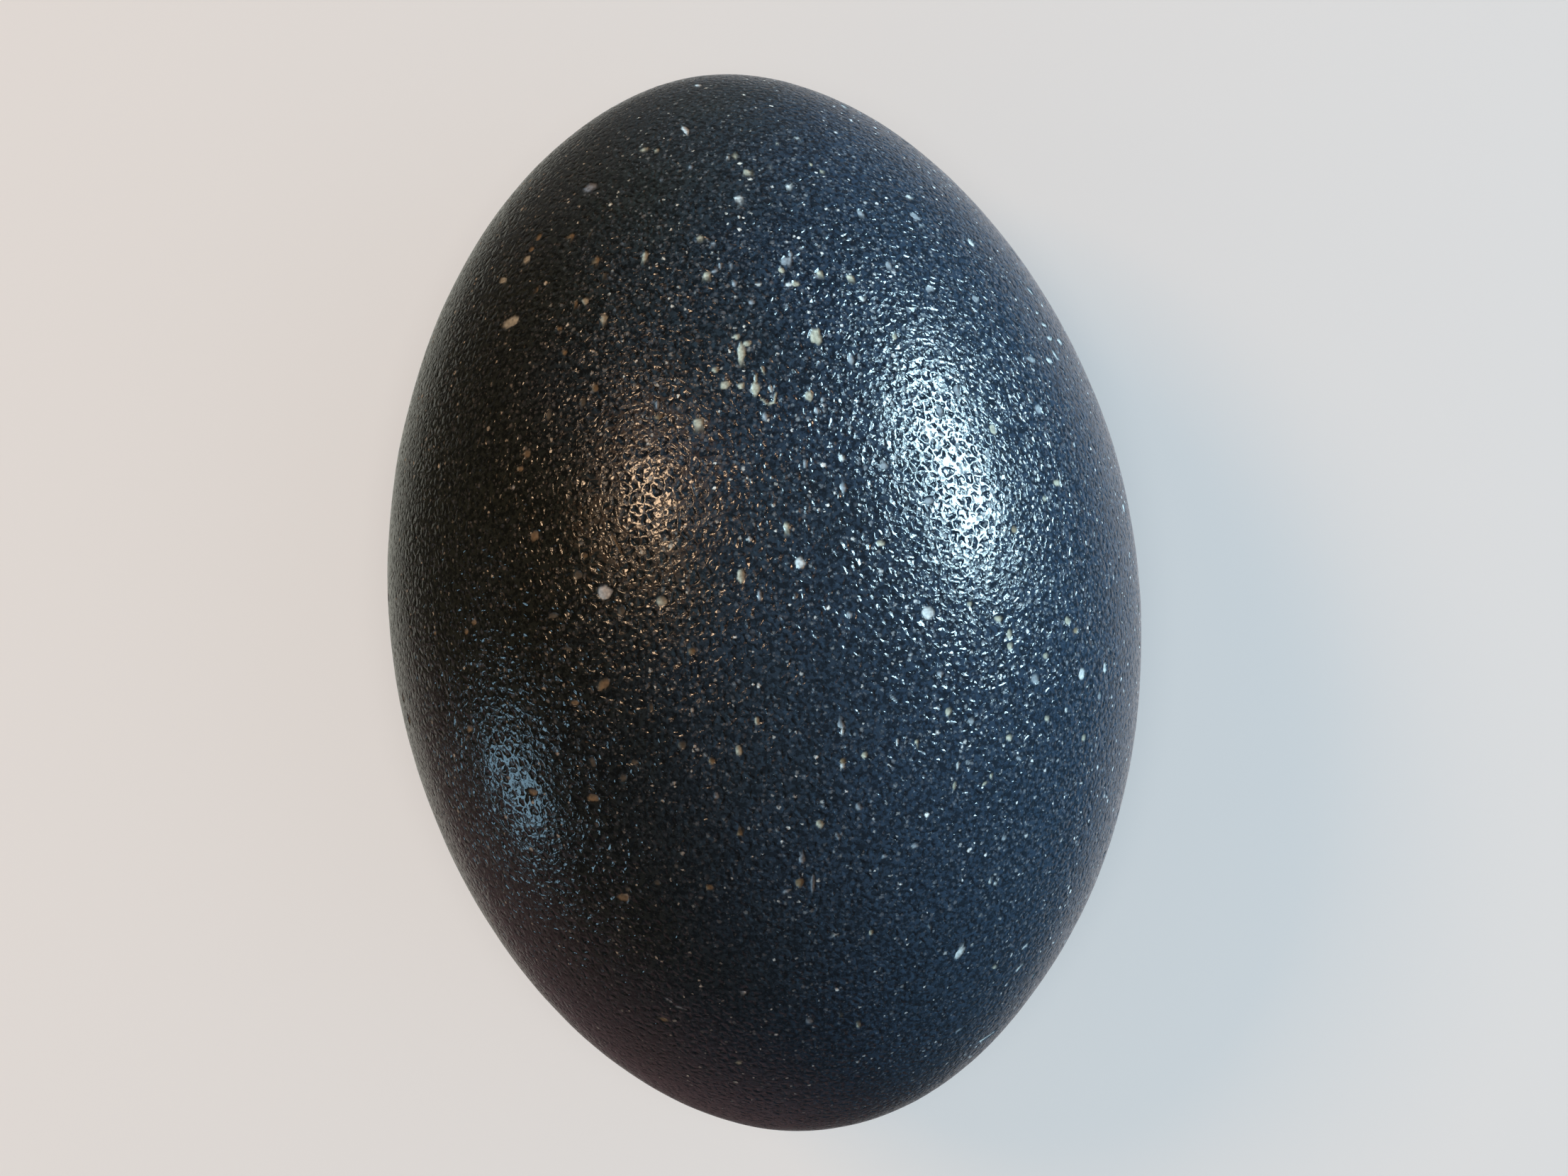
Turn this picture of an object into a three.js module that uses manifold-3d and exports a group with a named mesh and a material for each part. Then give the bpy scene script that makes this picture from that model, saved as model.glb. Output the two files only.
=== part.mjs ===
// Emu egg: one solid, lying on its side with its long axis along Y. Millimetres, +Z up.
// The origin is on the surface it lies on, at the middle of the flat spot that it rests on.

import * as THREE from 'three';
import { mergeVertices } from 'three/addons/utils/BufferGeometryUtils.js';
import Module from 'manifold-3d';

// Driving dimensions
const EGG_LENGTH = 130; // from pole to pole
const EGG_DIAMETER = 92; // at the widest girth
const POLE_SLIMNESS = 0.068; // how much slimmer than an ellipse both ends draw in
const SMALL_END_SLIMNESS = 0.008; // how much more the small end, at +Y, draws in
const REST_FLAT_DEPTH = 0.4; // how far the resting flat lies inside the round girth

// Facets
const GIRTH_FACETS = 72;
const PROFILE_STEPS = 64;

// Skin colour and finish
const SKIN_COLOUR = 0x23282c;
const SKIN_ROUGHNESS = 0.4;

const wasm = await Module();
wasm.setup();

/** Radius of the egg at the height u along its axis, from -1 at the large end to 1 at the small end. */
function girthRadius(u) {
  const ellipse = Math.sqrt(1 - u * u);
  const drawnIn = 1 - POLE_SLIMNESS * u * u - SMALL_END_SLIMNESS * u;
  return (EGG_DIAMETER / 2) * ellipse * drawnIn;
}

/** The egg's outline from pole to pole, with closer steps where it curves most. */
function eggOutline() {
  const outline = [new THREE.Vector2(0, -EGG_LENGTH / 2)];
  for (let step = 1; step < PROFILE_STEPS; step += 1) {
    const u = -Math.cos((Math.PI * step) / PROFILE_STEPS);
    outline.push(new THREE.Vector2(girthRadius(u), (u * EGG_LENGTH) / 2));
  }
  outline.push(new THREE.Vector2(0, EGG_LENGTH / 2));
  return outline;
}

/** A closed geometry as a solid, without the empty triangles that a lathe leaves at its poles. */
function toSolid(geometry) {
  const bare = geometry.clone();
  bare.deleteAttribute('normal');
  bare.deleteAttribute('uv');
  const merged = mergeVertices(bare);
  const index = merged.index.array;
  const triangles = [];
  for (let i = 0; i < index.length; i += 3) {
    const [a, b, c] = index.slice(i, i + 3);
    if (a !== b && b !== c && c !== a) triangles.push(a, b, c);
  }
  return new wasm.Manifold(new wasm.Mesh({
    numProp: 3,
    vertProperties: new Float32Array(merged.attributes.position.array),
    triVerts: new Uint32Array(triangles),
  }));
}

/** A solid's surface as a geometry. */
function toGeometry(solid) {
  const { vertProperties, triVerts } = solid.getMesh();
  const geometry = new THREE.BufferGeometry();
  geometry.setAttribute('position', new THREE.BufferAttribute(vertProperties, 3));
  geometry.setIndex(new THREE.BufferAttribute(triVerts, 1));
  geometry.computeVertexNormals();
  return geometry;
}

/** The whole egg about its own centre, with the flat spot that it rests on cut into its underside. */
function eggGeometry() {
  const whole = toSolid(new THREE.LatheGeometry(eggOutline(), GIRTH_FACETS));
  const below = new THREE.BoxGeometry(EGG_DIAMETER, EGG_LENGTH, EGG_DIAMETER);
  below.translate(0, 0, REST_FLAT_DEPTH - EGG_DIAMETER);
  return toGeometry(whole.subtract(toSolid(below)));
}

const skin = new THREE.MeshStandardMaterial({
  color: SKIN_COLOUR,
  roughness: SKIN_ROUGHNESS,
  metalness: 0,
});

const egg = new THREE.Mesh(eggGeometry(), skin);
egg.name = 'egg';
egg.position.z = EGG_DIAMETER / 2 - REST_FLAT_DEPTH;

const group = new THREE.Group();
group.add(egg);

export default group;
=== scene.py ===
import math
import random

import bmesh
import bpy
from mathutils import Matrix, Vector, bvhtree, kdtree, noise


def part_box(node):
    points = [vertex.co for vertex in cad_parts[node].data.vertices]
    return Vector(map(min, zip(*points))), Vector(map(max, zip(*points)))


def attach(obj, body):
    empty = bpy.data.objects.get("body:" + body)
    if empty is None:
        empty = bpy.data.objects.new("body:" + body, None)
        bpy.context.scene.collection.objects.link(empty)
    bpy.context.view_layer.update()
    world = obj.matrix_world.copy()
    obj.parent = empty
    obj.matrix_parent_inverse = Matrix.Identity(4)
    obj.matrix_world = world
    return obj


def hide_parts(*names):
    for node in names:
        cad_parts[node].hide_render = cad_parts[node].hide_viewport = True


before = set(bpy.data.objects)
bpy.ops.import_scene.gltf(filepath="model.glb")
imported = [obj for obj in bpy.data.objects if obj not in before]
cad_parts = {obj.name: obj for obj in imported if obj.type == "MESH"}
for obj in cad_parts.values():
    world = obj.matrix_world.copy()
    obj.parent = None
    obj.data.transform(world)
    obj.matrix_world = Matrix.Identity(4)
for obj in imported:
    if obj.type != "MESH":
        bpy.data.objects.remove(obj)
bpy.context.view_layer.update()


# The egg: one closed shell of chalky mineral, as long and rounded at both ends. Its dark skin is laid
# down last, in grains that run together into a glossy net with hollows between them. Where a grain is
# missing or chipped off, the paler layer below shows. It grows in one piece, so it is all one mesh.
MM = 0.001
low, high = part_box("egg")
HALF_LENGTH = (high.y - low.y) / 2
HALF_GIRTH = (high.x - low.x) / 2
EGG_CENTRE = Vector((0, 0, high.z - HALF_GIRTH))
POLE_SLIMNESS = 0.068
SMALL_END_SLIMNESS = 0.008
CELLS_PER_SIDE = 92
# Slow swells of the shell, each as its spacing and height, and the slightly flat tip at the slimmer
# end: a low crown with a dimple in it. All are in millimetres.
SWELLS = ((30, 0.16), (11, 0.07), (3.2, 0.03))
CROWN_HEIGHT, CROWN_WIDTH = 0.42, 8
DIMPLE_DEPTH, DIMPLE_WIDTH, DIMPLE_ACROSS = 0.26, 2.8, 2


def on_shell(way):
    """The point of the smooth shell in the direction way, a unit vector from the egg's middle."""
    drawn_in = 1 - POLE_SLIMNESS * way.y ** 2 - SMALL_END_SLIMNESS * way.y
    across = HALF_GIRTH * drawn_in
    return EGG_CENTRE + Vector((way.x * across, way.y * HALF_LENGTH, way.z * across))


def way_out(point):
    """The direction that the smooth shell faces at a point on it."""
    p = point - EGG_CENTRE
    return Vector((p.x / HALF_GIRTH ** 2, p.y / HALF_LENGTH ** 2, p.z / HALF_GIRTH ** 2)).normalized()


def grown_relief(point):
    """How far the real shell stands off the smooth one."""
    relief = sum(height * noise.noise(point / (spacing * MM)) for spacing, height in SWELLS)
    tip = EGG_CENTRE + Vector((0, HALF_LENGTH, 0))
    dimple = tip + Vector((DIMPLE_ACROSS * MM, 0, 0))
    relief += CROWN_HEIGHT * math.exp(-((point - tip).length / (CROWN_WIDTH * MM)) ** 2)
    relief -= DIMPLE_DEPTH * math.exp(-((point - dimple).length / (DIMPLE_WIDTH * MM)) ** 2)
    return relief * MM


egg_mesh = bmesh.new()
bmesh.ops.create_cube(egg_mesh, size=2.0)
bmesh.ops.subdivide_edges(egg_mesh, edges=egg_mesh.edges[:], cuts=CELLS_PER_SIDE - 1, use_grid_fill=True)
for vert in egg_mesh.verts:
    even = Vector([math.tan(c * math.pi / 4) for c in vert.co])
    vert.co = on_shell(even.normalized())

# The camera's place: straight above the egg, turned so that the egg leans a little to the left, and moved
# sideways and along so that it sits a little left of and below the middle of the picture.
FRAME_WIDTH, FRAME_HEIGHT = 2212, 1659
FOCAL_PIXELS = 3413
EGG_LEAN = math.radians(6.7)
CAMERA_DISTANCE = 0.30
MOVED_RIGHT, MOVED_UP = 2.4 * MM, 1.86 * MM
view_right = Vector((math.cos(EGG_LEAN), -math.sin(EGG_LEAN), 0))
view_up = Vector((math.sin(EGG_LEAN), math.cos(EGG_LEAN), 0))
camera_place = EGG_CENTRE + MOVED_RIGHT * view_right + MOVED_UP * view_up
camera_place.z += CAMERA_DISTANCE

# Pits and chips in the skin, under the tint that the layer below has there, made paler on the left by
# painted light, where the camera sees them.
# They are noted in eight close views, each 3.4 times the picture's size and named by the pixel of its upper
# left corner. Each mark is (right, down, wide, long, turn in degrees, tint), in its close view's pixels.
CLOSE_VIEW_SCALE = 3.4
CREAM, WHITE, TAN = (0.27, 0.245, 0.19), (0.38, 0.38, 0.38), (0.13, 0.09, 0.05)
GREY, DIM = (0.15, 0.16, 0.18), (0.06, 0.055, 0.045)
MARKS = {
    (620, 180): (
        (1435, 346, 42, 36, 20, WHITE), (985, 101, 34, 18, 20, CREAM), (1040, 108, 22, 16, 0, CREAM),
        (1418, 132, 28, 20, 0, CREAM), (1384, 143, 15, 14, 0, WHITE), (1475, 212, 34, 20, -20, CREAM),
        (1588, 182, 36, 16, 0, WHITE), (1620, 80, 22, 16, 0, CREAM), (1676, 280, 28, 12, 0, WHITE),
        (1205, 192, 26, 22, 0, GREY), (1065, 256, 30, 20, 0, GREY), (1045, 323, 20, 16, 0, CREAM),
        (960, 441, 34, 18, 25, CREAM), (1260, 432, 22, 26, 0, GREY), (860, 340, 26, 20, 0, GREY),
        (1130, 564, 20, 16, 0, CREAM), (630, 519, 28, 20, 0, TAN), (475, 526, 22, 30, 0, TAN),
        (598, 1077, 24, 24, 0, TAN), (572, 962, 30, 20, 0, TAN), (650, 838, 18, 22, 0, TAN),
        (1316, 563, 30, 24, 0, GREY), (1322, 688, 30, 14, 15, GREY), (1347, 666, 15, 28, 0, GREY),
        (1400, 662, 26, 18, 0, GREY), (1530, 752, 32, 14, 0, WHITE), (1415, 750, 22, 26, 0, GREY),
        (1252, 534, 38, 30, -20, CREAM), (1283, 712, 34, 36, 0, CREAM), (984, 616, 28, 36, 0, CREAM),
        (788, 913, 30, 38, 0, CREAM), (693, 833, 34, 30, 0, CREAM), (750, 635, 30, 28, 0, TAN),
        (416, 631, 28, 36, 0, CREAM), (440, 582, 22, 22, 0, TAN), (303, 731, 30, 28, 0, CREAM),
        (463, 778, 22, 24, 0, TAN), (341, 931, 70, 46, 20, CREAM), (1497, 838, 30, 22, -30, GREY),
        (790, 708, 22, 28, 0, DIM), (730, 508, 36, 16, 0, DIM), (1448, 1080, 36, 82, 2, CREAM),
        (1475, 1036, 36, 25, 0, CREAM), (1425, 1001, 27, 25, 0, CREAM), (1180, 10, 63, 20, -45, WHITE),
        (1243, -203, 53, 10, -21, WHITE), (721, 283, 50, 38, 0, GREY),
    ),
    (1080, 180): (
        (100, 640, 52, 36, 20, GREY), (75, 683, 26, 26, 0, CREAM), (120, 607, 18, 22, 0, GREY),
        (143, 749, 34, 26, 0, CREAM), (113, 752, 28, 20, 0, WHITE), (262, 701, 32, 32, 0, CREAM),
        (410, 720, 36, 28, -20, CREAM), (461, 415, 26, 44, 25, GREY), (720, 422, 44, 28, -40, GREY),
        (748, 468, 24, 20, -40, GREY), (990, 550, 20, 36, 20, WHITE), (633, 437, 20, 22, 0, GREY),
        (590, 655, 24, 34, 0, GREY), (790, 772, 36, 24, 0, GREY), (1012, 820, 26, 30, 0, GREY),
        (618, 1001, 22, 28, 0, CREAM), (243, 1000, 48, 72, 0, CREAM), (268, 207, 18, 16, 0, CREAM),
        (247, 262, 18, 14, 0, WHITE), (212, 176, 24, 16, -25, CREAM), (563, 198, 16, 12, -20, WHITE),
        (688, 326, 14, 13, 0, WHITE), (155, 57, 42, 24, -10, WHITE), (205, 28, 34, 10, -5, WHITE),
        (465, 822, 24, 18, 0, WHITE), (1270, 785, 46, 11, -65, WHITE), (1305, 888, 14, 16, 0, WHITE),
        (1338, 945, 16, 18, 0, WHITE), (1365, 1010, 18, 20, 0, WHITE), (1413, 1028, 17, 30, 0, WHITE),
        (1390, 1088, 50, 9, -80, WHITE), (1364, 1117, 20, 30, 0, WHITE), (1275, 1110, 32, 28, 0, GREY),
        (410, 1112, 26, 42, 0, GREY), (378, -103, 54, 15, 76, WHITE),
    ),
    (560, 500): (
        (1527, 74, 30, 24, 0, CREAM), (1575, 147, 44, 36, 20, CREAM), (1650, 153, 32, 26, 0, CREAM),
        (1445, 326, 42, 40, 0, CREAM), (590, 550, 26, 24, 0, TAN), (625, 476, 26, 36, 0, TAN),
        (557, 638, 12, 16, 0, WHITE), (948, 162, 30, 30, 0, TAN), (888, 228, 26, 40, 0, DIM),
        (725, 290, 26, 40, 0, DIM), (1255, 300, 36, 26, 0, TAN), (1250, 238, 18, 40, 0, GREY),
        (1053, 910, 118, 10, -60, TAN), (660, 870, 36, 46, 0, TAN), (900, 965, 26, 24, 0, TAN),
        (870, 1058, 34, 36, 0, DIM), (996, 1140, 58, 56, 0, WHITE), (1272, 1183, 44, 38, 0, CREAM),
        (1078, 1228, 32, 34, 0, DIM), (1740, 1155, 18, 48, 0, GREY), (1690, 885, 18, 18, 0, WHITE),
        (1650, 1060, 34, 60, 0, CREAM),
    ),
    (1060, 500): (
        (65, 297, 24, 42, 10, GREY), (275, 200, 38, 42, 0, CREAM), (343, 215, 22, 20, 0, GREY),
        (20, 165, 38, 66, 0, CREAM), (22, 118, 12, 40, 0, CREAM), (62, 225, 50, 11, -40, CREAM),
        (95, 236, 34, 11, 10, CREAM), (114, 205, 11, 40, -10, CREAM), (92, 165, 13, 36, 15, WHITE),
        (55, 75, 13, 44, 20, CREAM), (987, 172, 26, 40, 0, GREY), (907, 268, 32, 26, 0, GREY),
        (1160, 358, 26, 46, 0, CREAM), (635, 535, 38, 34, 0, GREY), (1380, 262, 24, 42, 0, GREY),
        (435, 497, 20, 28, 0, WHITE), (258, 525, 18, 38, 0, GREY), (440, 640, 22, 44, 0, GREY),
        (850, 700, 38, 32, 0, GREY), (1262, 840, 24, 34, 0, TAN), (1468, 615, 26, 30, 0, CREAM),
        (1408, 690, 16, 26, 0, CREAM), (167, 822, 30, 32, 0, CREAM), (618, 905, 38, 26, -20, CREAM),
        (232, 997, 46, 50, 0, WHITE), (850, 1240, 52, 54, 0, WHITE), (470, 1248, 28, 28, 0, GREY),
        (1045, 1197, 20, 24, 0, CREAM), (315, 270, 20, 28, 0, GREY),
    ),
    (560, 840): (
        (1412, 268, 32, 30, 0, TAN), (990, 425, 62, 34, 45, TAN), (940, 970, 48, 32, 0, TAN),
        (348, 640, 20, 32, 0, TAN), (370, 128, 18, 30, 0, TAN), (333, 172, 16, 26, 0, TAN),
        (183, 180, 12, 20, 0, TAN), (820, 255, 38, 18, -25, DIM), (750, 97, 42, 24, 0, DIM),
        (1640, 745, 28, 46, 0, CREAM), (1510, 795, 32, 26, 0, TAN), (1365, 718, 34, 34, 0, DIM),
        (1140, 800, 36, 24, 0, DIM), (1218, 535, 22, 38, 0, DIM), (855, 515, 34, 20, 0, TAN),
        (1085, 875, 32, 30, 0, DIM), (655, 943, 34, 30, 0, TAN), (1328, 900, 15, 15, 0, WHITE),
        (1530, 960, 24, 30, 0, GREY), (1415, 550, 15, 16, 0, WHITE), (940, 800, 22, 46, 20, DIM),
        (1645, 1145, 26, 18, 0, TAN),
    ),
    (1060, 840): (
        (1412, 290, 24, 28, 0, CREAM), (1587, 375, 22, 52, 0, WHITE), (1700, 347, 14, 52, 10, WHITE),
        (1597, 683, 16, 30, 0, CREAM), (430, 618, 30, 34, 30, GREY), (437, 655, 15, 30, 0, WHITE),
        (543, 765, 26, 26, 0, CREAM), (438, 796, 28, 24, 0, TAN), (437, 819, 20, 18, 0, WHITE),
        (512, 1012, 28, 30, 0, GREY), (330, 1097, 36, 34, 0, CREAM), (243, 1265, 30, 34, 0, GREY),
        (1213, 1163, 24, 22, 0, GREY), (1238, 682, 28, 30, 0, CREAM), (1150, 865, 14, 22, 0, CREAM),
        (945, 556, 28, 36, 0, CREAM), (1053, 600, 30, 28, 0, GREY), (1240, 245, 24, 34, 0, CREAM),
        (1237, 187, 22, 46, 0, CREAM), (1185, 112, 32, 28, 0, CREAM), (1518, 122, 22, 34, 0, CREAM),
        (1560, 168, 20, 26, 0, TAN), (1420, 590, 22, 24, 0, CREAM), (1512, 550, 12, 24, 0, WHITE),
        (990, 815, 15, 32, 0, WHITE), (1042, 800, 32, 15, -25, GREY), (700, 700, 15, 28, 0, WHITE),
        (793, 703, 18, 18, 0, CREAM), (975, 912, 15, 34, 0, CREAM), (1118, 903, 28, 15, 35, CREAM),
        (1283, 780, 24, 20, 0, GREY), (25, 600, 20, 34, 0, CREAM), (415, 1155, 34, 14, -60, GREY),
        (785, 1200, 34, 20, 0, GREY), (905, 375, 32, 24, 0, GREY), (1360, 400, 40, 36, 40, GREY),
        (680, 490, 42, 13, -40, GREY), (1673, 480, 12, 38, 0, GREY),
    ),
    (700, 1180): (
        (608, 292, 49, 34, 0, TAN), (632, 255, 26, 18, 0, DIM), (1022, 243, 36, 26, -10, TAN),
        (1262, 968, 24, 18, 10, GREY), (1160, 1087, 26, 16, -20, CREAM), (1458, 222, 38, 38, 0, TAN),
        (1520, 225, 18, 72, 0, GREY), (1395, 263, 40, 16, 25, GREY), (770, 222, 32, 22, 0, DIM),
        (1502, 882, 38, 20, 0, GREY), (1192, 749, 15, 12, 0, WHITE), (1271, 800, 15, 12, 0, WHITE),
        (805, 875, 34, 22, -20, TAN), (830, 786, 38, 9, -40, GREY), (885, 822, 56, 9, -20, GREY),
    ),
    (1120, 1180): (
        (794, 558, 55, 32, 67, WHITE), (928, 962, 95, 15, 38, WHITE), (310, 905, 20, 15, 0, CREAM),
        (965, 225, 18, 16, 0, WHITE), (940, 219, 13, 13, 0, WHITE), (370, 460, 20, 20, 0, CREAM),
        (208, 470, 15, 13, 0, WHITE), (467, 843, 26, 20, 20, GREY), (222, 857, 30, 18, 0, DIM),
        (1110, 528, 36, 11, 55, WHITE), (1080, 633, 34, 11, 60, WHITE), (1147, 675, 20, 12, 60, GREY),
        (966, 628, 15, 16, 0, CREAM), (793, 930, 30, 12, 45, GREY), (650, 432, 34, 10, -50, GREY),
        (435, 95, 28, 18, 0, GREY),
    ),
}

# Painted light: the pits' tints are made paler towards the egg's left side, where the lamps light them less.
# The hidden sides get theirs at random.
MIDDLE_PAINTED_LIGHT, PAINTED_LIGHT_FALL = 1.2, 0.01
LEAST_PAINTED_LIGHT, MOST_PAINTED_LIGHT = 0.9, 1.4
MARK_REACH = 0.55
PIT_DEPTH = 0.16 * MM
RIM_WAVER, RIM_WAVER_SPACING = 0.34, 0.5 * MM
FINE_MARGIN = 0.42 * MM
FINE_CUTS = 4
RANDOM_PITS = 80
rng = random.Random(7)


def axes_at(point):
    """The directions sideways and lengthways on the smooth shell at a point on it."""
    out = way_out(point)
    side = Vector((0, 1, 0)).cross(out).normalized()
    return side, out.cross(side)


def shell_seen_at(pixel):
    """The point of the smooth shell that the camera sees at a pixel of its picture."""
    way = (pixel.x - FRAME_WIDTH / 2) * view_right + (FRAME_HEIGHT / 2 - pixel.y) * view_up
    return smooth_shell.ray_cast(camera_place, way - Vector((0, 0, FOCAL_PIXELS)))[0]


def in_picture(point):
    """Where the camera sees a point, in pixels right and up from the middle of its picture."""
    offset = point - camera_place
    return Vector((offset.dot(view_right), offset.dot(view_up))) * FOCAL_PIXELS / -offset.z


def held_between(value, least, most):
    """The value, or the limit that it goes past."""
    return min(max(value, least), most)


smooth_shell = bvhtree.BVHTree.FromBMesh(egg_mesh)
marks = []
for corner, places in MARKS.items():
    for from_left, from_top, wide, long, turn, tint in places:
        centre = shell_seen_at(Vector(corner) + Vector((from_left, from_top)) / CLOSE_VIEW_SCALE)
        seen = [(in_picture(centre + axis * MM) - in_picture(centre)).length for axis in axes_at(centre)]
        across_scale, along_scale = (CLOSE_VIEW_SCALE * pixels / MM for pixels in seen)
        c, s = math.cos(math.radians(turn)), math.sin(math.radians(turn))
        half_wide = MARK_REACH * wide / math.hypot(across_scale * c, along_scale * s)
        half_long = MARK_REACH * long / math.hypot(across_scale * s, along_scale * c)
        shell_turn = math.atan2(s / along_scale, c / across_scale) - EGG_LEAN
        # painted light: each upper pit's tint is raised towards the egg's left side
        painted_light_gain = held_between(MIDDLE_PAINTED_LIGHT - PAINTED_LIGHT_FALL * centre.x / MM, LEAST_PAINTED_LIGHT, MOST_PAINTED_LIGHT)
        marks.append((centre, half_wide, half_long, shell_turn, tuple(painted_light_gain * part for part in tint)))
upper_marks = len(marks)
while len(marks) < upper_marks + RANDOM_PITS:
    way = Vector((rng.gauss(0, 1), rng.gauss(0, 1), rng.gauss(0, 1))).normalized()
    if way.z > 0.35:
        continue
    size = (0.35 + 0.35 * rng.random() ** 2) * MM
    tint = rng.choice((CREAM, WHITE, TAN, GREY, DIM))
    marks.append((on_shell(way), size, size * rng.uniform(0.7, 1.3), rng.uniform(0, math.pi), tint))

# The mesh is made finer round each mark, and the marks are then sunk into it.
face_tree = kdtree.KDTree(len(egg_mesh.faces))
egg_mesh.faces.ensure_lookup_table()
for face in egg_mesh.faces:
    face_tree.insert(face.calc_center_median(), face.index)
face_tree.balance()
close = set()
for centre, half_wide, half_long, turn, tint in marks:
    reach = max(half_wide, half_long) * 1.15 + FINE_MARGIN
    close.update(index for _, index, _ in face_tree.find_range(centre, reach))
edges = list({edge for index in close for edge in egg_mesh.faces[index].edges})
bmesh.ops.subdivide_edges(egg_mesh, edges=edges, cuts=FINE_CUTS, use_grid_fill=True, use_single_edge=True)

chalk_and_light_layer = egg_mesh.verts.layers.float_color.new("chalk_and_light")
vert_tree = kdtree.KDTree(len(egg_mesh.verts))
egg_mesh.verts.ensure_lookup_table()
for vert in egg_mesh.verts:
    p = vert.co - EGG_CENTRE
    vert.co = on_shell(Vector((p.x / HALF_GIRTH, p.y / HALF_LENGTH, p.z / HALF_GIRTH)).normalized())
    vert_tree.insert(vert.co, vert.index)
vert_tree.balance()
sunk = {}
for centre, half_wide, half_long, turn, tint in marks:
    side, up = axes_at(centre)
    for co, index, _ in vert_tree.find_range(centre, max(half_wide, half_long) * 1.6):
        offset = co - centre
        a, b = offset.dot(side), offset.dot(up)
        p = (a * math.cos(turn) + b * math.sin(turn)) / half_wide
        q = (b * math.cos(turn) - a * math.sin(turn)) / half_long
        near = math.hypot(p, q) / (1 + RIM_WAVER * noise.noise(co / RIM_WAVER_SPACING))
        bare = held_between((1.14 - near) / 0.42, 0, 1)
        if bare > sunk.get(index, (0,))[0]:
            sunk[index] = (bare, held_between((1.25 - near) / 0.9, 0, 1), tint)
for vert in egg_mesh.verts:
    bare, depth, tint = sunk.get(vert.index, (0, 0, (0, 0, 0)))
    vert[chalk_and_light_layer] = (*tint, bare)
    lift = grown_relief(vert.co) - PIT_DEPTH * depth * (2 - depth)
    vert.co += way_out(vert.co) * lift
    vert.co.z = max(vert.co.z, 0)
bmesh.ops.triangulate(egg_mesh, faces=[f for f in egg_mesh.faces if len(f.verts) > 4])
bmesh.ops.recalc_face_normals(egg_mesh, faces=egg_mesh.faces[:])
for face in egg_mesh.faces:
    face.smooth = True
egg_data = bpy.data.meshes.new("emu_egg")
egg_mesh.to_mesh(egg_data)
egg_mesh.free()
egg = bpy.data.objects.new("emu_egg", egg_data)
bpy.context.scene.collection.objects.link(egg)


def wire(tree, kind, inputs, **settings):
    """Adds a shader node, makes its settings, and sets or links its inputs by name or number."""
    made = tree.nodes.new("ShaderNode" + kind)
    for name, value in settings.items():
        setattr(made, name, value)
    for name, value in inputs.items():
        if isinstance(value, bpy.types.NodeSocket):
            tree.links.new(value, made.inputs[name])
        else:
            made.inputs[name].default_value = value
    return made


def calculated(tree, operation, *values):
    """The result of a math operation on these values."""
    return wire(tree, "Math", dict(enumerate(values)), operation=operation).outputs[0]


def smooth(tree, value, start, end):
    """Rises smoothly from 0 to 1 as value goes from start to end."""
    return wire(tree, "MapRange", {0: value, 1: start, 2: end}, interpolation_type="SMOOTHSTEP").outputs[0]


def ranged(tree, value, start, end, first, last):
    """Goes evenly from first to last as value goes from start to end."""
    return wire(tree, "MapRange", {0: value, 1: start, 2: end, 3: first, 4: last}).outputs[0]


def scaled(tree, colour, factor):
    """The colour times a number."""
    return wire(tree, "VectorMath", {0: colour, "Scale": factor}, operation="SCALE").outputs[0]


def mixed(tree, share, first, second, blend="MIX"):
    """Goes from the first colour to the second as share goes from 0 to 1."""
    colours = {0: share, 6: first, 7: second}
    return wire(tree, "Mix", colours, data_type="RGBA", blend_type=blend).outputs[2]


def cloudy(tree, place, scale, detail, roughness=0.5):
    """Soft noise from 0 to 1, of that many waves to the metre."""
    settings = {"Vector": place, "Scale": scale, "Detail": detail, "Roughness": roughness}
    return wire(tree, "TexNoise", settings).outputs["Fac"]


def warped(tree, place, scale, amount):
    """The place, moved about by up to amount in swirls of that scale."""
    swirl = wire(tree, "TexNoise", {"Vector": place, "Scale": scale, "Detail": 1.0}).outputs["Color"]
    shift = wire(tree, "VectorMath", {0: swirl, 1: (0.5, 0.5, 0.5)}, operation="SUBTRACT").outputs[0]
    moved = {0: shift, 1: (amount,) * 3, 2: place}
    return wire(tree, "VectorMath", moved, operation="MULTIPLY_ADD").outputs[0]


def new_group(name, inputs, outputs):
    """A node group with these sockets, and its input and output nodes."""
    group = bpy.data.node_groups.new(name, "ShaderNodeTree")
    for socket, kind in inputs.items():
        group.interface.new_socket(socket, in_out="INPUT", socket_type="NodeSocket" + kind)
    for socket, kind in outputs.items():
        group.interface.new_socket(socket, in_out="OUTPUT", socket_type="NodeSocket" + kind)
    return group, group.nodes.new("NodeGroupInput").outputs, group.nodes.new("NodeGroupOutput").inputs


# Specks: in a share of the cells of a random packing the grain is missing, and a paler spot shows.
DARKEST_SPECK, PALEST_SPECK = (0.016, 0.020, 0.028, 1), (0.66, 0.65, 0.62, 1)
SPECKS_BETWEEN = (
    (0.45, (0.030, 0.035, 0.045, 1)),
    (0.78, (0.058, 0.064, 0.078, 1)),
    (0.95, (0.12, 0.125, 0.13, 1)),
)
SPECK_INPUTS = {"Place": "Vector", "Scale": "Float", "Size": "Float", "Share": "Float", "Bright": "Float"}
specks, given, gives = new_group("specks", SPECK_INPUTS, {"Bare": "Float", "Tint": "Color"})
cells = wire(specks, "TexVoronoi", {"Vector": given["Place"], "Scale": given["Scale"]}).outputs
lots = wire(specks, "SeparateColor", {0: cells["Color"]}).outputs
chosen = calculated(specks, "LESS_THAN", lots[0], given["Share"])
spread = calculated(specks, "MULTIPLY_ADD", lots[1], 0.5, 0.5)
rim = calculated(specks, "MULTIPLY", spread, given["Size"])
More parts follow.
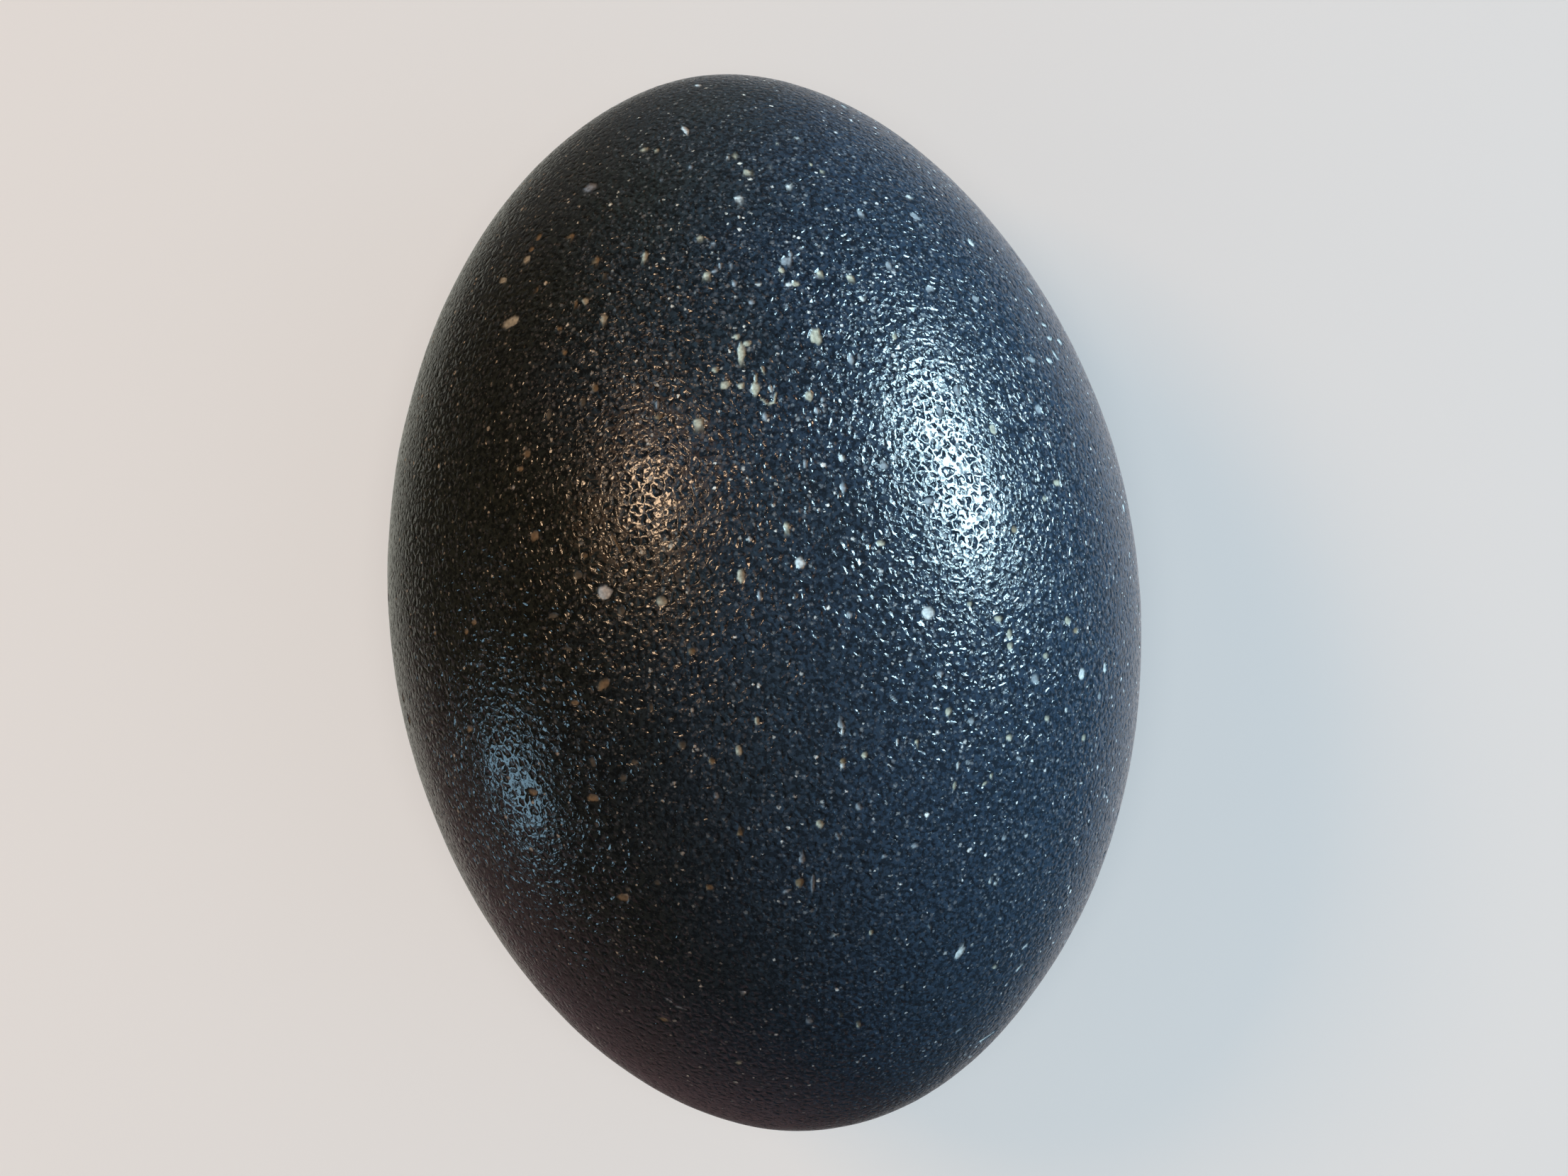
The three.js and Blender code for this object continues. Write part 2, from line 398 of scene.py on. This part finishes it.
core = calculated(specks, "MULTIPLY", rim, 0.35)
spot = ranged(specks, cells["Distance"], core, rim, 1.0, 0.0)
specks.links.new(calculated(specks, "MULTIPLY", spot, chosen), gives["Bare"])
speck_tints = wire(specks, "ValToRGB", {0: lots[2]})
stops = speck_tints.color_ramp.elements
stops[0].color = DARKEST_SPECK
stops[1].color = PALEST_SPECK
for at, tint in SPECKS_BETWEEN:
    stops.new(at).color = tint
specks.links.new(scaled(specks, speck_tints.outputs[0], given["Bright"]), gives["Tint"])

# The skin: green-black and slate blue in patches, mottled under its gloss, with denser specks towards the
# right and the slimmer end. Painted light: the skin leans green-black on the left, under the warm lamp, and
# slate blue on the right, in the window's blue light; its specks take a warm cast on the left; and they are
# brighter towards the right and the slimmer end, the side that the window lights. Scales are in cells or
# waves to the metre.
GREEN_BLACK, SLATE_BLUE = (0.0085, 0.0092, 0.0062, 1), (0.0074, 0.0120, 0.0200, 1)
WARM_TONE_AND_LAMP_LIGHT, COOL_TONE_AND_WINDOW_LIGHT = (1.22, 1.0, 0.76, 1), (1.03, 1.0, 1.04, 1)
NET_SCALE, WAVE_SCALE, MOTTLE_SCALE, PATCH_SCALE, CRUMB_SCALE = 900, 1850, 1800, 45, 2600
RELIEF_DEPTH = 0.112 * MM
WAVE_SHARE, SPECK_SINK = 0.42, -0.20
GLOSSY, SPECK_DULLNESS, CHALK_ROUGHNESS = 0.14, 0.4, 0.7
LEFT_EDGE, RIGHT_EDGE = -45 * MM, 20 * MM
# The specks' layers, coarse to fine, each as (scale, widest, share, brightness).
SPECK_LAYERS = ((800, 0.28, 0.13, 1.2), (1350, 0.46, 1.0, 1.0), (2100, 0.52, 1.0, 0.95))
skin = bpy.data.materials.new("eggshell_skin")
skin.use_nodes = True
tree = skin.node_tree
tree.nodes.clear()
place = wire(tree, "TexCoord", {}).outputs["Object"]
grain_place = warped(tree, place, 1100, 0.85 * MM)
speck_place = warped(tree, place, 3000, 0.42 * MM)
packing = wire(tree, "TexVoronoi", {"Vector": grain_place, "Scale": NET_SCALE}, feature="DISTANCE_TO_EDGE")
net = smooth(tree, packing.outputs["Distance"], 0.50, 0.05)
waves = cloudy(tree, place, WAVE_SCALE, 1.0, 0.35)
net_height = calculated(tree, "MULTIPLY_ADD", waves, WAVE_SHARE, net)
mottle = smooth(tree, cloudy(tree, speck_place, MOTTLE_SCALE, 2.0, 0.6), 0.42, 0.60)

patches = cloudy(tree, place, PATCH_SCALE, 3.0)
sides = wire(tree, "SeparateXYZ", {0: place}).outputs
rightward = calculated(tree, "MULTIPLY_ADD", sides[1], -0.08, sides[0])
tone_and_light_drift = calculated(tree, "MULTIPLY_ADD", patches, 45 * MM, rightward)
# painted light: the skin leans green-black on the warm lamp's side and slate blue on the window's side, over
# its own patches
slate_and_window_light = smooth(tree, tone_and_light_drift, -14 * MM, 40 * MM)
slant = calculated(tree, "MULTIPLY_ADD", sides[1], 0.35, sides[0])
worn = ranged(tree, slant, LEFT_EDGE, RIGHT_EDGE, 0.42, 0.78)
# painted light: the specks are dimmer on the left and brighter towards the side that the window lights
painted_window_side_light = ranged(tree, slant, LEFT_EDGE, RIGHT_EDGE, 0.6, 1.05)
patchy = ranged(tree, patches, 0.35, 0.65, 0.7, 1.3)
speck_share = calculated(tree, "MULTIPLY", worn, patchy)
# painted light: the specks get the warm lamp's cast on the left and a cool cast on the right
tone_and_light_cast = mixed(tree, slate_and_window_light, WARM_TONE_AND_LAMP_LIGHT, COOL_TONE_AND_WINDOW_LIGHT)
shade = calculated(tree, "MULTIPLY_ADD", mottle, 1.38, 0.66)
colour = scaled(tree, mixed(tree, slate_and_window_light, GREEN_BLACK, SLATE_BLUE), shade)
bared = 0.0
for scale, widest, part, strength in SPECK_LAYERS:
    here = {"Place": speck_place, "Scale": scale, "Size": widest,
            "Share": calculated(tree, "MULTIPLY", speck_share, part),
            "Bright": calculated(tree, "MULTIPLY", painted_window_side_light, strength)}
    layer = wire(tree, "Group", here, node_tree=specks).outputs
    tinted = wire(tree, "VectorMath", {0: layer["Tint"], 1: tone_and_light_cast}, operation="MULTIPLY").outputs[0]
    colour = mixed(tree, layer["Bare"], colour, tinted)
    bared = calculated(tree, "MAXIMUM", bared, layer["Bare"])
skin_height = calculated(tree, "MULTIPLY_ADD", bared, SPECK_SINK, net_height)

# The pits and chips are dull, crumbly chalk, in the tint and the strength that the mesh carries; on the
# upper side that tint holds painted light, paler towards the left.
chalk_and_light = wire(tree, "Attribute", {}, attribute_name="chalk_and_light").outputs
crumbs = ranged(tree, cloudy(tree, place, CRUMB_SCALE, 1.0), 0.3, 0.7, 0.65, 1.2)
colour = mixed(tree, chalk_and_light["Alpha"], colour, scaled(tree, chalk_and_light["Color"], crumbs))
skin_roughness = calculated(tree, "MULTIPLY_ADD", bared, SPECK_DULLNESS, GLOSSY)
roughness = wire(tree, "Mix", {0: chalk_and_light["Alpha"], 2: skin_roughness, 3: CHALK_ROUGHNESS}).outputs[0]
relief = wire(tree, "Mix", {0: chalk_and_light["Alpha"], 2: 1.0, 3: 0.25}).outputs[0]
bump = wire(tree, "Bump", {"Height": skin_height, "Distance": RELIEF_DEPTH, "Strength": relief}).outputs[0]
finish = {"Base Color": colour, "Roughness": roughness, "Normal": bump, "IOR": 1.45}
wire(tree, "OutputMaterial", {0: wire(tree, "BsdfPrincipled", finish).outputs[0]})
egg_data.materials.append(skin)
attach(egg, "root")
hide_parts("egg")


# The floor: one plain pale sheet of matt paper, laid level. The egg's resting flat lies on it.
# It doesn't show in the egg's gloss, because the room below gives the light that a real one throws up.
FLOOR_REACH = 6
floor_mesh = bmesh.new()
bmesh.ops.create_grid(floor_mesh, x_segments=1, y_segments=1, size=FLOOR_REACH)
floor_data = bpy.data.meshes.new("floor")
floor_mesh.to_mesh(floor_data)
floor_mesh.free()
floor = bpy.data.objects.new("floor", floor_data)
bpy.context.scene.collection.objects.link(floor)
floor.visible_glossy = False
paper = bpy.data.materials.new("pale_paper")
paper.use_nodes = True
paper_inputs = paper.node_tree.nodes["Principled BSDF"].inputs
paper_inputs["Base Color"].default_value = (0.77, 0.77, 0.77, 1)
paper_inputs["Roughness"].default_value = 0.85
floor_data.materials.append(paper)


# The lights: a wide cool window low on the right, a small warm lamp in its glow above on the left and a
# small cool window low on the left light the egg alone. A soft overhead light and a warm lamp, which
# cast the egg's shadow, and a fill on each side, which casts none, light the floor alone.
def add_light(name, toward, distance, size, colour, watts):
    """An area light that shines at the egg's middle from that direction and distance."""
    light = bpy.data.lights.new(name, "AREA")
    light.shape = "RECTANGLE"
    light.size, light.size_y = size
    light.color = colour
    light.energy = watts
    fitting = bpy.data.objects.new(name, light)
    bpy.context.scene.collection.objects.link(fitting)
    aim = Vector(toward).normalized()
    fitting.location = EGG_CENTRE + distance * aim
    fitting.rotation_euler = aim.to_track_quat("Z", "Y").to_euler()
    fitting.visible_camera = False
    return fitting


LAMP_WAY = (-0.45, 0.34, 0.77)
window = add_light("window", (0.862, 0.30, 0.42), 0.8, (0.42, 0.26), (0.58, 0.86, 1.0), 18.6)
lamp = add_light("lamp", LAMP_WAY, 0.7, (0.13, 0.13), (1.0, 0.68, 0.42), 1.7)
lamp_glow = add_light("lamp_glow", LAMP_WAY, 0.7, (0.45, 0.45), (1.0, 0.52, 0.26), 0.5)
LOW_WAY = (-0.905, -0.345, 0.12)
low_window = add_light("low_window", LOW_WAY, 0.22, (0.055, 0.055), (0.45, 0.76, 1.0), 0.055)
warm_floor = add_light("warm_floor", (-0.5, 0.36, 0.79), 1.2, (0.35, 0.35), (1.0, 0.52, 0.20), 3.5)
left_fill = add_light("left_fill", (-0.8, -0.1, 0.8), 0.5, (0.4, 0.4), (1.0, 0.80, 0.65), 0.27)
right_fill = add_light("right_fill", (0.75, -0.1, 0.85), 0.5, (0.4, 0.4), (0.37, 0.74, 1.0), 0.85)
overhead_data = bpy.data.lights.new("overhead", "SUN")
overhead_data.energy = 1.59
overhead_data.color = (1.0, 0.94, 0.88)
overhead_data.angle = 0.5
overhead = bpy.data.objects.new("overhead", overhead_data)
bpy.context.scene.collection.objects.link(overhead)
overhead.location = (0, 0, 1)
egg_only = bpy.data.collections.new("lit_by_windows")
egg_only.objects.link(egg)
floor_only = bpy.data.collections.new("lit_from_above")
floor_only.objects.link(floor)
for light in (window, lamp, lamp_glow, low_window):
    light.light_linking.receiver_collection = egg_only
for light in (overhead, warm_floor, left_fill, right_fill):
    light.light_linking.receiver_collection = floor_only
for light in (left_fill, right_fill):
    light.light_linking.blocker_collection = floor_only


# The room: dim all round, with broad soft glows where the egg's gloss would mirror a pale wall, the
# floor or the ceiling. Where nothing else is in view, it is plain grey.
ROOM_TONE, BACKDROP_TONE = (0.046, 0.044, 0.040, 1), (0.48, 0.48, 0.48, 1)
# Each glow is its direction, how nearly that way it starts, from 0 to 1, and its colour.
GLOWS = (
    ((0.97, -0.05, -0.1), 0.1, (0.052, 0.120, 0.185, 1)),
    ((-0.35, 0.10, -0.93), 0.86, (0.40, 0.40, 0.35, 1)),
    ((0.0, 0.90, -0.43), 0.55, (0.12, 0.12, 0.12, 1)),
    ((0.35, -0.15, 0.92), 0.2, (0.10, 0.13, 0.16, 1)),
    ((-0.55, -0.62, -0.56), 0.68, (0.16, 0.09, 0.10, 1)),
    ((0.2, -0.9, 0.3), 0.2, (0.03, 0.055, 0.085, 1)),
    ((0.42, 0.06, -0.90), 0.72, (0.50, 0.50, 0.52, 1)),
)
world = bpy.data.worlds.new("pale_room")
bpy.context.scene.world = world
world.use_nodes = True
room_tree = world.node_tree
room_tree.nodes.clear()
direction = wire(room_tree, "TexCoord", {}).outputs["Generated"]
room = ROOM_TONE
for axis, start, glow in GLOWS:
    facing = wire(room_tree, "VectorMath", {0: direction, 1: axis}, operation="DOT_PRODUCT").outputs["Value"]
    room = mixed(room_tree, smooth(room_tree, facing, start, 1.0), room, glow, "ADD")
room_light = wire(room_tree, "Background", {"Color": room, "Strength": 1.0}).outputs[0]
backdrop = wire(room_tree, "Background", {"Color": BACKDROP_TONE, "Strength": 1.0}).outputs[0]
in_view = wire(room_tree, "LightPath", {}).outputs["Is Camera Ray"]
whole_room = wire(room_tree, "MixShader", {0: in_view, 1: room_light, 2: backdrop}).outputs[0]
wire(room_tree, "OutputWorld", {0: whole_room})


# The camera: a plain one with the lens of the egg's view, at the place that the marks are seen from.
# It looks straight down, turned against the egg's lean.
camera_data = bpy.data.cameras.new("camera")
camera_data.sensor_width = 36
camera_data.lens = FOCAL_PIXELS / FRAME_WIDTH * camera_data.sensor_width
camera = bpy.data.objects.new("camera", camera_data)
bpy.context.scene.collection.objects.link(camera)
camera.rotation_euler = (0, 0, -EGG_LEAN)
camera.location = camera_place
bpy.context.scene.camera = camera
bpy.context.scene.view_settings.view_transform = "Standard"
